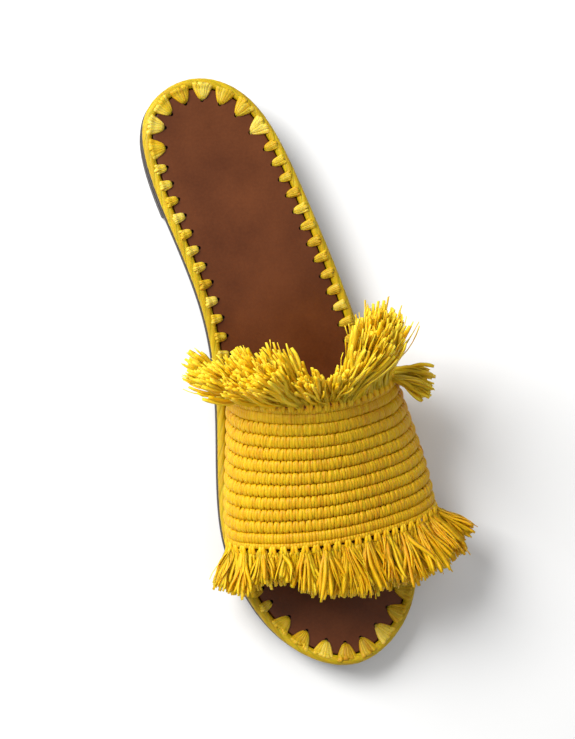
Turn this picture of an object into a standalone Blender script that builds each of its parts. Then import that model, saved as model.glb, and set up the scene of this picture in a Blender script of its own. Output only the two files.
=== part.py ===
"""Raffia slide for the left foot: a flat leather slide with a crocheted raffia band and two fringes.

Metres, +Z up. The toe points to -Y, the outer side of the foot is +X, and the origin is the centre of
the heel's flat bottom. Run it with blender --background --python part.py, or from the text editor.
"""

import math
from typing import NamedTuple

import bmesh
import bpy
import numpy as np

# Lengths and widths of the sole
SOLE_LENGTH = 0.250
BALL_WIDTH = 0.081
HEEL_LENGTH = 0.052
FOREFOOT_FLAT_BACK = 0.160
FOREFOOT_FLAT_FRONT = 0.206

# Heights of the sole
HEEL_HEIGHT = 0.0117
TOE_SPRING = 0.006
OUTSOLE_THICKNESS = 0.005
INSOLE_THICKNESS = 0.0025
EDGE_ROUNDING = 0.0007
HEEL_TAPER = 0.0016
HEEL_BREAST_CURVE = 0.003
OUTSOLE_INSET = 0.0004

# The raffia cord round the edge and the whip stitches that hold it to the leather
CORD_WIDTH = 0.004
STITCH_REACH = 0.0045
STITCH_THICKNESS = 0.0009
STITCH_OUTER_WIDTH = 0.0056
STITCH_INNER_WIDTH = 0.0028
STITCH_PITCH_SIDE = 0.0072
STITCH_PITCH_ENDS = 0.0112
STITCH_ENDS_LENGTH = 0.030

# The crocheted band over the foot
BAND_BACK = 0.1225
BAND_LENGTH = 0.0598
BAND_OUTER_LAG = 0.0065
BAND_HEIGHT_BACK = 0.050
BAND_HEIGHT_FRONT = 0.034
BAND_WALL = 0.0024
BAND_BORDER = 0.0065
RIB_COUNT = 9
RIB_DEPTH = 0.0008
BAND_FOOT_CLEARANCE = 0.0005
# how far the band leans towards the toe, as a share of its height
BAND_LEAN = 0.36

# The two fringes
FRINGE_HEADER = 0.0025
THROAT_FRINGE_LENGTH = 0.028
TOE_FRINGE_LENGTH = 0.0225
LOCK_WIDTH = 0.0046

GAP = 0.0003

# How finely the shapes are drawn
OUTLINE_SAMPLES = 720
SECTION_SAMPLES = 400
SOLE_STATIONS = 36
SOLE_END_MARGIN = 0.012
HEEL_BACK_POINTS = 29
HEEL_BREAST_POINTS = 9
BAND_COLUMNS = 32
CORD_SIDES = 8
SMOOTH_ANGLE = 35


class OutlinePoint(NamedTuple):
    """A point of the sole's outline: along is from the heel's back, across is + to the outer side."""

    name: str
    along: float
    across: float


# along is a share of SOLE_LENGTH and across a share of BALL_WIDTH
SOLE_OUTLINE = (
    OutlinePoint("heel back", 0.000, -0.030),
    OutlinePoint("heel inner back", 0.034, -0.268),
    OutlinePoint("heel inner", 0.110, -0.337),
    OutlinePoint("waist inner back", 0.240, -0.290),
    OutlinePoint("waist inner", 0.392, -0.222),
    OutlinePoint("ball inner back", 0.560, -0.268),
    OutlinePoint("ball inner", 0.735, -0.370),
    OutlinePoint("toe inner", 0.850, -0.325),
    OutlinePoint("toe inner front", 0.946, -0.170),
    OutlinePoint("toe tip", 1.000, 0.130),
    OutlinePoint("toe outer front", 0.958, 0.430),
    OutlinePoint("toe outer", 0.872, 0.582),
    OutlinePoint("ball outer", 0.716, 0.637),
    OutlinePoint("waist outer front", 0.560, 0.603),
    OutlinePoint("waist outer", 0.400, 0.532),
    OutlinePoint("heel outer front", 0.240, 0.435),
    OutlinePoint("heel outer", 0.112, 0.345),
    OutlinePoint("heel outer back", 0.032, 0.205),
)


class BandFold(NamedTuple):
    """A point of the band's section: across between its feet, from the inner foot, and up to its crown."""

    name: str
    across: float
    up: float


# across is a share of the width between the feet and up a share of the band's height
BAND_SECTION = (
    BandFold("inner foot", 0.000, 0.00),
    BandFold("inner foot top", -0.012, 0.07),
    BandFold("inner swell", -0.070, 0.20),
    BandFold("inner wall", -0.100, 0.38),
    BandFold("inner shoulder", -0.035, 0.70),
    BandFold("inner crown", 0.190, 0.93),
    BandFold("crown", 0.450, 1.00),
    BandFold("outer crown", 0.720, 0.92),
    BandFold("outer shoulder", 1.020, 0.68),
    BandFold("outer wall", 1.165, 0.38),
    BandFold("outer swell", 1.115, 0.18),
    BandFold("outer foot top", 1.012, 0.06),
    BandFold("outer foot", 1.000, 0.00),
)


class FringePlace(NamedTuple):
    """How the locks stand at one place along a band edge: reach is a share of the fringe's length."""

    name: str
    place: float
    reach: float
    splay: float
    lean: float
    droop: float
    curl: float


# place is a share of the edge from the inner foot, splay lifts off the band, lean tips to the outer side,
# droop bends the tip down and curl adds to the tip's splay, all four in degrees
THROAT_FRINGE = (
    FringePlace("inner flare", 0.10, 0.72, 54, -2, 8, 0),
    FringePlace("inner shoulder", 0.26, 0.90, 38, -8, 12, 5),
    FringePlace("inner crown", 0.41, 1.08, 26, -24, 12, 0),
    FringePlace("gap", 0.475, 0.40, 20, -8, 10, 10),
    FringePlace("outer crown", 0.54, 0.90, 24, 32, 10, 5),
    FringePlace("outer shoulder", 0.62, 1.24, 18, 8, 2, 10),
    FringePlace("bushy lock", 0.765, 1.26, 8, -6, 0, 15),
    FringePlace("outer flare", 0.80, 0.72, 76, 16, 0, 60),
    FringePlace("behind the flare", 0.84, 0.80, 12, -6, 4, 0),
    FringePlace("outer foot", 0.90, 0.60, 12, -6, 4, 0),
)
TOE_FRINGE = (
    FringePlace("inner flare", 0.10, 0.80, 16, 4, 8, 0),
    FringePlace("inner shoulder", 0.21, 0.84, 10, 2, 16, 0),
    FringePlace("short stretch", 0.33, 0.62, 8, 0, 20, 0),
    FringePlace("crown", 0.46, 1.00, 4, 0, 24, 0),
    FringePlace("outer shoulder", 0.75, 0.96, 18, 0, 18, 0),
    FringePlace("outer flare", 0.90, 0.82, 44, 8, 8, 0),
)
LOCK_ALTERNATION = 11
# every third lock is longest, and the lengths also run up and down in a slow wave
LOCK_SHORTENING = 0.10
LOCK_WAVE = 0.05
LOCK_WAVE_TURN = 2.4
# how a lock tapers: share of its length, share of the cell's width, share of the header's thickness
LOCK_STEPS = ((0.22, 0.84, 1.45), (0.64, 0.82, 1.40), (1.00, 0.42, 0.70))


class Finish(NamedTuple):
    """A material's base colour, roughness and metallic value."""

    colour: tuple
    roughness: float
    metallic: float


FINISHES = {
    "raffia": Finish((0.80, 0.52, 0.02, 1.0), 0.55, 0.0),
    "insole leather": Finish((0.15, 0.05, 0.022, 1.0), 0.38, 0.0),
    "sole leather": Finish((0.028, 0.011, 0.009, 1.0), 0.45, 0.0),
    "heel stack": Finish((0.035, 0.014, 0.010, 1.0), 0.50, 0.0),
}

HEEL_CENTRE = HEEL_LENGTH / 2
HEEL_SEAT = HEEL_HEIGHT + GAP


def clear_scene():
    """Remove every object of the open scene."""
    for obj in list(bpy.data.objects):
        bpy.data.objects.remove(obj, do_unlink=True)


def spline(points, samples, closed):
    """Points along the cubic spline through the given points, closed or with free ends."""
    points = np.asarray(points, float)
    path = np.vstack([points, points[:1]]) if closed else points
    steps = np.sqrt(np.linalg.norm(np.diff(path, axis=0), axis=1))
    knots = np.concatenate([[0.0], np.cumsum(steps)])
    slopes = np.diff(path, axis=0) / steps[:, None]
    count = len(points)
    system = np.zeros((count, count))
    bends = np.zeros_like(points)
    for i in range(count):
        if not closed and i in (0, count - 1):
            system[i, i] = 1.0
            continue
        before = steps[i - 1]
        after = steps[i]
        system[i, i - 1] += before
        system[i, i] += 2 * (before + after)
        system[i, (i + 1) % count] += after
        bends[i] = 6 * (slopes[i] - slopes[i - 1])
    bends = np.linalg.solve(system, bends)
    if closed:
        bends = np.vstack([bends, bends[:1]])
    at = np.linspace(0.0, knots[-1], samples, endpoint=not closed)
    span = np.clip(np.searchsorted(knots, at, side="right") - 1, 0, len(steps) - 1)
    width = steps[span][:, None]
    left = (knots[span + 1] - at)[:, None]
    right = (at - knots[span])[:, None]
    curved = (bends[span] * left**3 + bends[span + 1] * right**3) / (6 * width)
    straight_left = (path[span] / width - bends[span] * width / 6) * left
    straight_right = (path[span + 1] / width - bends[span + 1] * width / 6) * right
    return curved + straight_left + straight_right


def lengths_along(points):
    """Distance of each point from the first, along the line through them."""
    return np.concatenate([[0.0], np.cumsum(np.linalg.norm(np.diff(points, axis=0), axis=1))])


def at_lengths(points, lengths):
    """Points of the line through the given points, at the given distances along it."""
    along = lengths_along(points)
    return np.stack([np.interp(lengths, along, points[:, axis]) for axis in range(points.shape[1])], 1)


def spread(points, count):
    """The same line with count points, evenly spaced."""
    return at_lengths(points, np.linspace(0.0, lengths_along(points)[-1], count))


def inward(points):
    """Unit normals of a closed counter-clockwise line, pointing to its inside."""
    tangent = np.roll(points, -1, axis=0) - np.roll(points, 1, axis=0)
    tangent /= np.linalg.norm(tangent, axis=1)[:, None]
    return np.stack([-tangent[:, 1], tangent[:, 0]], 1)


def outline(inset=0.0):
    """The sole's closed outline seen from above, from the heel's back along the inner side."""
    corners = [(point.across * BALL_WIDTH, point.along * SOLE_LENGTH) for point in SOLE_OUTLINE]
    drawn = spline(corners, OUTLINE_SAMPLES, True)
    along = drawn[:, 1]
    along = SOLE_LENGTH * (along - along.min()) / (along.max() - along.min())
    points = np.stack([drawn[:, 0], HEEL_CENTRE - along], 1)
    return points + inset * inward(points)


def sides(inset):
    """The inner and outer halves of the outline, each as (y, x) with y rising from the toe."""
    points = outline(inset)
    points = np.roll(points, -int(points[:, 1].argmax()), axis=0)
    toe = int(points[:, 1].argmin())
    inner = points[: toe + 1][::-1]
    outer = np.vstack([points[toe:], points[:1]])
    return inner[:, ::-1], outer[:, ::-1]


def side_x(half, y):
    """The outline half's x at y."""
    return np.interp(y, half[:, 0], half[:, 1])


def along_of(y):
    """Distance from the heel's back at y."""
    return HEEL_CENTRE - np.asarray(y, float)


def sole_bottom(y):
    """Height of the outsole's underside at y: level heel seat, waist, level forefoot and toe spring."""
    along = along_of(y)
    rise = np.clip((FOREFOOT_FLAT_BACK - along) / (FOREFOOT_FLAT_BACK - HEEL_LENGTH), 0.0, 1.0)
    toe = np.clip((along - FOREFOOT_FLAT_FRONT) / (SOLE_LENGTH - FOREFOOT_FLAT_FRONT), 0.0, 1.0)
    return HEEL_SEAT * rise**2 * (3 - 2 * rise) + TOE_SPRING * toe**2


def outsole_top(y):
    """Height of the outsole's upper face at y."""
    return sole_bottom(y) + OUTSOLE_THICKNESS


def insole_top(y):
    """Height of the leather that the foot stands on at y."""
    return outsole_top(y) + GAP + INSOLE_THICKNESS


def grid_faces(rows, columns, closed_columns):
    """Quads between neighbouring rows of a grid of points numbered row by row."""
    last = columns if closed_columns else columns - 1
    faces = []
    for row in range(rows - 1):
        for column in range(last):
            beside = (column + 1) % columns
            a = row * columns
            b = a + columns
            faces.append((a + column, a + beside, b + beside, b + column))
    return faces


def new_object(name, points, faces, finish):
    """A mesh object with outward faces and the named finish, in the slide's own collection."""
    mesh = bpy.data.meshes.new(name)
    mesh.from_pydata([tuple(map(float, point)) for point in points], [], faces)
    shape = bmesh.new()
    shape.from_mesh(mesh)
    bmesh.ops.recalc_face_normals(shape, faces=shape.faces)
    if shape.calc_volume(signed=True) < 0:
        bmesh.ops.reverse_faces(shape, faces=shape.faces)
    shape.to_mesh(mesh)
    shape.free()
    obj = bpy.data.objects.new(name, mesh)
    bpy.data.collections["raffia_slide"].objects.link(obj)
    mesh.materials.append(material(name, FINISHES[finish]))
    mesh.shade_smooth()
    mesh.set_sharp_from_angle(angle=math.radians(SMOOTH_ANGLE))
    return obj


def material(name, finish):
    """A Principled material of its own for one piece."""
    made = bpy.data.materials.new(name)
    made.use_nodes = True
    shader = made.node_tree.nodes["Principled BSDF"]
    shader.inputs["Base Color"].default_value = finish.colour
    shader.inputs["Roughness"].default_value = finish.roughness
    shader.inputs["Metallic"].default_value = finish.metallic
    return made


def loft(sections):
    """Points and faces of a solid through sections of equal length, with a face at each end."""
    rows, columns = len(sections), len(sections[0])
    faces = grid_faces(rows, columns, True)
    faces.append(tuple(range(columns)))
    faces.append(tuple(range((rows - 1) * columns, rows * columns)))
    return [point for section in sections for point in section], faces


def sole_layer(name, inset, bottom_of, thickness, finish):
    """A level layer of the sole: it follows the outline, waist and toe spring, with rounded edges."""
    inner, outer = sides(inset)
    front, back = inner[0, 0], inner[-1, 0]
    turn = np.linspace(SOLE_END_MARGIN, 1 - SOLE_END_MARGIN, SOLE_STATIONS) * math.pi
    sections = []
    for y in back + (front - back) * (1 - np.cos(turn)) / 2:
        left, right = side_x(inner, y), side_x(outer, y)
        low = float(bottom_of(y))
        high = low + thickness
        r = EDGE_ROUNDING
        sections.append(
            [
                (left + r, y, low),
                (right - r, y, low),
                (right, y, low + r),
                (right, y, high - r),
                (right - r, y, high),
                (left + r, y, high),
                (left, y, high - r),
                (left, y, low + r),
            ]
        )
    points, faces = loft(sections)
    return new_object(name, points, faces, finish)


def make_outsole():
    """The dark leather outsole, flat under the heel seat and the forefoot."""
    return sole_layer("outsole", OUTSOLE_INSET, sole_bottom, OUTSOLE_THICKNESS, "sole leather")


def make_insole():
    """The brown leather insole, inside the raffia cord."""

    def bottom(y):
        return outsole_top(y) + GAP

    return sole_layer("insole", CORD_WIDTH + GAP, bottom, INSOLE_THICKNESS, "insole leather")


def heel_ring(inset, height):
    """The heel's outline at a height: round the back, and a hollow breast across the front."""
    points = outline(inset)
    points = np.roll(points, -int(points[:, 1].argmax()), axis=0)
    front = HEEL_CENTRE - HEEL_LENGTH
    turn = int(points[:, 1].argmin())
    inner = points[:turn][points[:turn, 1] >= front]
    outer = points[turn:][points[turn:, 1] >= front]
    round_back = spread(np.vstack([outer, inner]), HEEL_BACK_POINTS)
    t = np.linspace(-1, 1, HEEL_BREAST_POINTS)[1:-1]
    across = inner[-1, 0] + (outer[0, 0] - inner[-1, 0]) * (t + 1) / 2
    breast = np.stack([across, front + HEEL_BREAST_CURVE * (1 - t**2)], 1)
    return [(x, y, height) for x, y in np.vstack([round_back, breast])]


def make_heel():
    """The low stacked heel, a little smaller at the floor than at the seat."""
    points, faces = loft([heel_ring(OUTSOLE_INSET + HEEL_TAPER, 0.0), heel_ring(OUTSOLE_INSET, HEEL_HEIGHT)])
    return new_object("heel", points, faces, "heel stack")


def stitch_pitch(along):
    """Distance between whip stitches: wider round the heel and the toe than along the sides."""
    at_end = (along < STITCH_ENDS_LENGTH) | (along > SOLE_LENGTH - STITCH_ENDS_LENGTH)
    return np.where(at_end, STITCH_PITCH_ENDS, STITCH_PITCH_SIDE)


def under_band(x, y):
    """Whether the band's foot stands at this place of the edge, so that no stitch shows."""
    lag = BAND_OUTER_LAG if x > 0 else 0.0
    along = float(along_of(y)) - lag
    margin = STITCH_PITCH_SIDE / 2
    return BAND_BACK - margin < along < BAND_BACK + BAND_LENGTH + margin


def rand_stations(line):
    """Places along the cord as (distance, reach of the stitch there), in order."""
    lengths = lengths_along(line)
    mid = (line[1:] + line[:-1]) / 2
    turns = np.concatenate([[0.0], np.cumsum(np.diff(lengths) / stitch_pitch(along_of(mid[:, 1])))])
    count = round(turns[-1])
    centres = np.interp((np.arange(count) + 0.5) * turns[-1] / count, turns, lengths)
    stations = []
    for centre, (x, y) in zip(centres, at_lengths(line, centres)):
        reach = 0.0 if under_band(x, y) else STITCH_REACH
        stations.append((centre - STITCH_OUTER_WIDTH / 2, 0.0))
        if reach:
            stations.append((centre - STITCH_INNER_WIDTH / 2, reach))
            stations.append((centre + STITCH_INNER_WIDTH / 2, reach))
            stations.append((centre + STITCH_OUTER_WIDTH / 2, 0.0))
    return stations


def make_rand():
    """The raffia cord that edges the sole, with its whip stitches reaching in over the insole."""
    line = outline()
    line = np.vstack([line, line[:1]])
    normals = inward(line[:-1])
    normals = np.vstack([normals, normals[:1]])
    lengths = lengths_along(line)
    radius = CORD_WIDTH / 2
    rest = INSOLE_THICKNESS + 2 * GAP
    angles = [(side + 0.5) * 2 * math.pi / CORD_SIDES for side in range(CORD_SIDES)]
    round_part = [(radius - radius * math.cos(a), GAP + radius + radius * math.sin(a)) for a in angles]
    over = round_part[: CORD_SIDES // 2 - 1]
    under = round_part[CORD_SIDES // 2 :]
    points = []
    stations = rand_stations(line)
    for distance, reach in stations:
        x, y = (np.interp(distance, lengths, line[:, axis]) for axis in (0, 1))
        nx, ny = (np.interp(distance, lengths, normals[:, axis]) for axis in (0, 1))
        tip = CORD_WIDTH + reach
        stitch = [(tip - GAP, rest + STITCH_THICKNESS), (tip, rest), (CORD_WIDTH - GAP / 2, rest)]
        section = over + stitch + under
        for inset, height in section:
            px, py = x + nx * inset, y + ny * inset
            points.append((px, py, float(outsole_top(py)) + height))
    columns = len(section)
    faces = grid_faces(len(stations), columns, True)
    last = (len(stations) - 1) * columns
    for column in range(columns):
        beside = (column + 1) % columns
        faces.append((last + column, last + beside, beside, column))
    return new_object("rand", points, faces, "raffia")


def band_height(share):
    """Height of the band's crown over the insole, at a share of its length from the throat."""
    return BAND_HEIGHT_BACK + share * (BAND_HEIGHT_FRONT - BAND_HEIGHT_BACK)


class Band:
    """The band's outer face as a function of a share of its length and a place on its section."""

    def __init__(self):
        """Work out the section's curve and the lines on which its feet stand."""
        section = spline([(fold.across, fold.up) for fold in BAND_SECTION], SECTION_SAMPLES, False)
        width = BALL_WIDTH - 2 * CORD_WIDTH
        self.sized = section * (width, (BAND_HEIGHT_BACK + BAND_HEIGHT_FRONT) / 2)
        self.lengths = lengths_along(self.sized)
        self.section = section
        self.inner, self.outer = sides(CORD_WIDTH + GAP + RIB_DEPTH)

    def point(self, share, place):
        """The point at a share of the band's length and a share of the section's length."""
        at = place * self.lengths[-1]
        across, up = (np.interp(at, self.lengths, self.section[:, axis]) for axis in (0, 1))
        inner_y = HEEL_CENTRE - BAND_BACK - share * BAND_LENGTH
        outer_y = inner_y - BAND_OUTER_LAG
        inner_x, outer_x = side_x(self.inner, inner_y), side_x(self.outer, outer_y)
        foot_y = inner_y + min(max(across, 0.0), 1.0) * (outer_y - inner_y)
        x = inner_x + across * (outer_x - inner_x)
        z = insole_top(foot_y) + BAND_FOOT_CLEARANCE + up * band_height(share)
        return np.array([x, foot_y - BAND_LEAN * up * band_height(share), z])

    def frame(self, share, place):
        """The point, the direction towards the toe and the outward normal there."""
        step = 1e-3
        point = self.point(share, place)
        forward = self.point(share + step, place) - self.point(share - step, place)
        low, high = max(place - step, 0.0), min(place + step, 1.0)
        sideways = self.point(share, high) - self.point(share, low)
        normal = np.cross(forward, sideways)
        return point, forward / np.linalg.norm(forward), normal / np.linalg.norm(normal)


def rib_rows():
    """The band's rows as (share of its length, height of the face), a groove beside each rib's crown."""
    pitch = (BAND_LENGTH - 2 * BAND_BORDER) / RIB_COUNT
    rows = [(0.0, 0.0), (BAND_BORDER - pitch / 2, 0.0)]
    for rib in range(RIB_COUNT + 1):
        groove = BAND_BORDER + rib * pitch
        rows.append((groove, -RIB_DEPTH))
        rows.append((groove + pitch / 2, 0.0))
    rows.append((BAND_LENGTH, 0.0))
    return [(distance / BAND_LENGTH, height) for distance, height in rows]


def make_upper(band):
    """The crocheted band: one bent wall with a raised rib for each row."""
    rows = rib_rows()
    points = []
    for share, height in rows:
        for column in range(BAND_COLUMNS + 1):
            point, _, normal = band.frame(share, column / BAND_COLUMNS)
            points.append(point + normal * height)
    obj = new_object("upper", points, grid_faces(len(rows), BAND_COLUMNS + 1, False), "raffia")
    face_outwards(obj)
    wall = obj.modifiers.new("wall", "SOLIDIFY")
    wall.thickness = BAND_WALL
    wall.offset = -1
    wall.use_even_offset = True
    return obj


def face_outwards(obj):
    """Turn an open band's faces away from the foot: its highest face looks up."""
    mesh = obj.data
    highest = max(mesh.polygons, key=lambda face: face.center.z)
    if highest.normal.z < 0:
        mesh.flip_normals()


def fringe_place(table, place, column):
    """A column of the fringe's table at a place along the edge."""
    return float(np.interp(place, [row.place for row in table], [getattr(row, column) for row in table]))


def lock_heading(away, normal, lift, lean):
    """The direction that is lifted off the band and leans to the outer side, both in degrees."""
    sideways = np.cross(away, normal)
    if sideways[0] < 0:
        sideways = -sideways
    lifted = away * math.cos(math.radians(lift)) + normal * math.sin(math.radians(lift))
    return lifted * math.cos(math.radians(lean)) + sideways * math.sin(math.radians(lean))


def lock_path(table, length, number, place, away, normal):
    """The directions in which a lock leaves its cell and ends, and its own length."""
    lift = fringe_place(table, place, "splay") + LOCK_ALTERNATION * (1 if number % 2 else -1)
    lean = fringe_place(table, place, "lean")
    start = lock_heading(away, normal, lift, lean)
    droop = math.sin(math.radians(fringe_place(table, place, "droop")))
    end = lock_heading(away, normal, lift + fringe_place(table, place, "curl"), lean)
    end = end - np.array([0.0, 0.0, droop])
    uneven = 1 - LOCK_SHORTENING * (number % 3) + LOCK_WAVE * math.sin(LOCK_WAVE_TURN * number)
    own = length * fringe_place(table, place, "reach") * uneven
    return start, end / np.linalg.norm(end), own


def make_fringe(band, name, table, length, edge, heading):
    """A fringe: a header that meets the band's edge, with a tapered lock drawn out of each of its cells."""
    first, last = table[0].place, table[-1].place
    count = round((last - first) * band.lengths[-1] / LOCK_WIDTH)
    near = edge + heading * GAP / BAND_LENGTH
    far = near + heading * FRINGE_HEADER / BAND_LENGTH
    shape = bmesh.new()
    sections = []
    for cell in range(count + 1):
        place = first + (last - first) * cell / count
        corners = []
        for share, depth in ((near, 0.0), (far, 0.0), (far, BAND_WALL), (near, BAND_WALL)):
            point, _, normal = band.frame(share, place)
            corners.append(shape.verts.new(point - normal * depth))
        sections.append(corners)
    far_faces = []
    for before, after in zip(sections, sections[1:]):
        for side in range(4):
            beside = (side + 1) % 4
            face = shape.faces.new((before[side], before[beside], after[beside], after[side]))
            if side == 1:
                far_faces.append(face)
    shape.faces.new(sections[0])
    shape.faces.new(sections[-1])
    bmesh.ops.recalc_face_normals(shape, faces=shape.faces)
    for number, face in enumerate(far_faces):
        place = first + (last - first) * (number + 0.5) / count
        _, forward, normal = band.frame(far, place)
        start, end, own = lock_path(table, length, number, place, forward * heading, normal)
        draw_lock(shape, face, start, end, own, normal)
    mesh = bpy.data.meshes.new(name)
    shape.to_mesh(mesh)
    shape.free()
    points = [vertex.co[:] for vertex in mesh.vertices]
    faces = [tuple(face.vertices) for face in mesh.polygons]
    bpy.data.meshes.remove(mesh)
    return new_object(name, points, faces, "raffia")


def draw_lock(shape, face, start, end, own, normal):
    """Extrude one face of the header into a lock that bends from start to end as it tapers."""
    corners = [np.array(vertex.co) for vertex in face.verts]
    base = sum(corners) / len(corners)
    centre = base
    reached = 0.0
    for share, wide, thick in LOCK_STEPS:
        direction = start + (end - start) * (share + reached) / 2
        direction = direction / np.linalg.norm(direction)
        centre = centre + direction * own * (share - reached)
        reached = share
        face = bmesh.ops.extrude_discrete_faces(shape, faces=[face])["faces"][0]
        for vertex, corner in zip(face.verts, corners):
            offset = corner - base
            through = normal * np.dot(offset, normal)
            vertex.co = centre + (offset - through) * wide + through * thick


def main():
    """Build the slide, a node for each piece."""
    clear_scene()
    collection = bpy.data.collections.new("raffia_slide")
    bpy.context.scene.collection.children.link(collection)
    make_outsole()
    make_heel()
    make_insole()
    make_rand()
    band = Band()
    make_upper(band)
    make_fringe(band, "throat_fringe", THROAT_FRINGE, THROAT_FRINGE_LENGTH, 0.0, -1)
    make_fringe(band, "toe_fringe", TOE_FRINGE, TOE_FRINGE_LENGTH, 1.0, 1)


main()
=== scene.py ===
"""Looks of the raffia slide: leather sole, punched insole, whip-stitched cord, crocheted band and fringes.

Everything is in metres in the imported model's frame: +Z up, the toe to -Y, the outer side of the foot +X.
"""

from __future__ import annotations

import logging
import math
from dataclasses import dataclass, field
from enum import Enum
from typing import NamedTuple

import bmesh
import bpy
import numpy as np
from mathutils import Matrix, Vector

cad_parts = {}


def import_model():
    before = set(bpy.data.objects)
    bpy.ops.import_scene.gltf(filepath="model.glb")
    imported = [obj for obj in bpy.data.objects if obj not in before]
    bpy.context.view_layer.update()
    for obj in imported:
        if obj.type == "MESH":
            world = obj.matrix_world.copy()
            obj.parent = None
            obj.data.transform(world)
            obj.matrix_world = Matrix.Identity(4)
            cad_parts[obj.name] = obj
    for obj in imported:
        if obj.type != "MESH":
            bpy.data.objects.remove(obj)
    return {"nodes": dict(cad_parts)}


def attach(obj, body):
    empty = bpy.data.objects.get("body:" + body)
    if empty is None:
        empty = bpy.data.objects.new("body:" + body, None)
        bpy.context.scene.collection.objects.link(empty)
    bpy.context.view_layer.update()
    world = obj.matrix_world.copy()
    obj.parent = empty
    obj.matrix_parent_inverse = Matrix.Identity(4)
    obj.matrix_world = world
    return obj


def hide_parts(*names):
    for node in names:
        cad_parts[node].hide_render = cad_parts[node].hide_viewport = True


LOG = logging.getLogger("raffia_slide")
BODY = "root"
MM = 0.001
UP = (0.0, 0.0, 1.0)
# Keeps a length that is divided by from being zero.
TINY = 1e-12
# Keeps a place that is read from a grid inside the grid's last cell.
SHORT_OF_LAST = 1.001


class OutlinePoint(NamedTuple):
    """A point of the sole's outline, as shares of its length and of the ball's width."""

    name: str
    along: float
    across: float


class BandFold(NamedTuple):
    """A point of the band's section, as shares of the width between its feet and of its height."""

    name: str
    across: float
    up: float


class FringePlace(NamedTuple):
    """How the locks stand at one place along a band edge, with angles in degrees.

    The curl is added to the splay towards the tips, and the bush is how far the strands part.
    """

    name: str
    place: float
    reach: float
    splay: float
    lean: float
    droop: float
    curl: float
    bush: float


SOLE_OUTLINE = (
    OutlinePoint("heel back", 0.000, -0.030),
    OutlinePoint("heel inner back", 0.034, -0.268),
    OutlinePoint("heel inner", 0.110, -0.337),
    OutlinePoint("waist inner back", 0.240, -0.290),
    OutlinePoint("waist inner", 0.392, -0.222),
    OutlinePoint("ball inner back", 0.560, -0.268),
    OutlinePoint("ball inner", 0.735, -0.370),
    OutlinePoint("toe inner", 0.850, -0.325),
    OutlinePoint("toe inner front", 0.946, -0.170),
    OutlinePoint("toe tip", 1.000, 0.130),
    OutlinePoint("toe outer front", 0.958, 0.430),
    OutlinePoint("toe outer", 0.872, 0.582),
    OutlinePoint("ball outer", 0.716, 0.637),
    OutlinePoint("waist outer front", 0.560, 0.603),
    OutlinePoint("waist outer", 0.400, 0.532),
    OutlinePoint("heel outer front", 0.240, 0.435),
    OutlinePoint("heel outer", 0.112, 0.345),
    OutlinePoint("heel outer back", 0.032, 0.205),
)
BAND_SECTION = (
    BandFold("inner foot", 0.000, 0.00),
    BandFold("inner foot top", -0.012, 0.07),
    BandFold("inner swell", -0.070, 0.20),
    BandFold("inner wall", -0.100, 0.38),
    BandFold("inner shoulder", -0.035, 0.70),
    BandFold("inner crown", 0.190, 0.93),
    BandFold("crown", 0.450, 1.00),
    BandFold("outer crown", 0.720, 0.92),
    BandFold("outer shoulder", 1.020, 0.68),
    BandFold("outer wall", 1.165, 0.38),
    BandFold("outer swell", 1.115, 0.18),
    BandFold("outer foot top", 1.012, 0.06),
    BandFold("outer foot", 1.000, 0.00),
)
THROAT_FRINGE = (
    FringePlace("inner flare", 0.10, 0.72, 54, -2, 8, 0, 0.5),
    FringePlace("inner shoulder", 0.26, 0.90, 38, -8, 12, 5, 1.0),
    FringePlace("inner crown", 0.41, 1.08, 26, -24, 12, 0, 0.9),
    FringePlace("gap", 0.475, 0.40, 20, -8, 10, 10, 0.8),
    FringePlace("outer crown", 0.54, 0.90, 24, 32, 10, 5, 0.75),
    FringePlace("outer shoulder", 0.62, 1.24, 18, 8, 2, 10, 0.55),
    FringePlace("bushy lock", 0.77, 1.26, 8, -8, 0, 15, 0.5),
    FringePlace("outer flare", 0.792, 0.74, 104, 16, 0, 38, 0.75),
    FringePlace("flare's lower lock", 0.826, 0.60, 112, 22, 0, 30, 0.6),
    FringePlace("behind the flare", 0.846, 0.72, 12, -20, 4, 0, 0.5),
    FringePlace("outer foot", 0.90, 0.56, 12, -14, 4, 0, 0.6),
)
TOE_FRINGE = (
    FringePlace("inner flare", 0.10, 0.80, 16, 4, 8, 0, 0.8),
    FringePlace("inner shoulder", 0.21, 0.74, 10, 2, 16, 0, 1.0),
    FringePlace("short stretch", 0.32, 0.54, 8, 0, 20, 0, 1.0),
    FringePlace("crown", 0.46, 1.00, 4, 0, 24, 0, 1.1),
    FringePlace("outer shoulder", 0.75, 0.96, 18, 0, 18, 0, 1.0),
    FringePlace("outer flare", 0.90, 0.82, 44, 8, 8, 0, 0.6),
)


def unit(vectors: np.ndarray) -> np.ndarray:
    """Return the vectors of the last axis at length one."""
    return vectors / np.maximum(np.linalg.norm(vectors, axis=-1, keepdims=True), TINY)


def lengths_along(points: np.ndarray) -> np.ndarray:
    """Return each point's distance from the first, along the line through them."""
    return np.concatenate([[0.0], np.cumsum(np.linalg.norm(np.diff(points, axis=0), axis=1))])


def at_lengths(points: np.ndarray, lengths: np.ndarray) -> np.ndarray:
    """Return the points of a line at the given distances along it."""
    along = lengths_along(points)
    return np.stack([np.interp(lengths, along, points[:, axis]) for axis in range(points.shape[1])], 1)


def spread(points: np.ndarray, count: int) -> np.ndarray:
    """Return the same line with count evenly spaced points."""
    return at_lengths(points, np.linspace(0.0, lengths_along(points)[-1], count))


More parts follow.
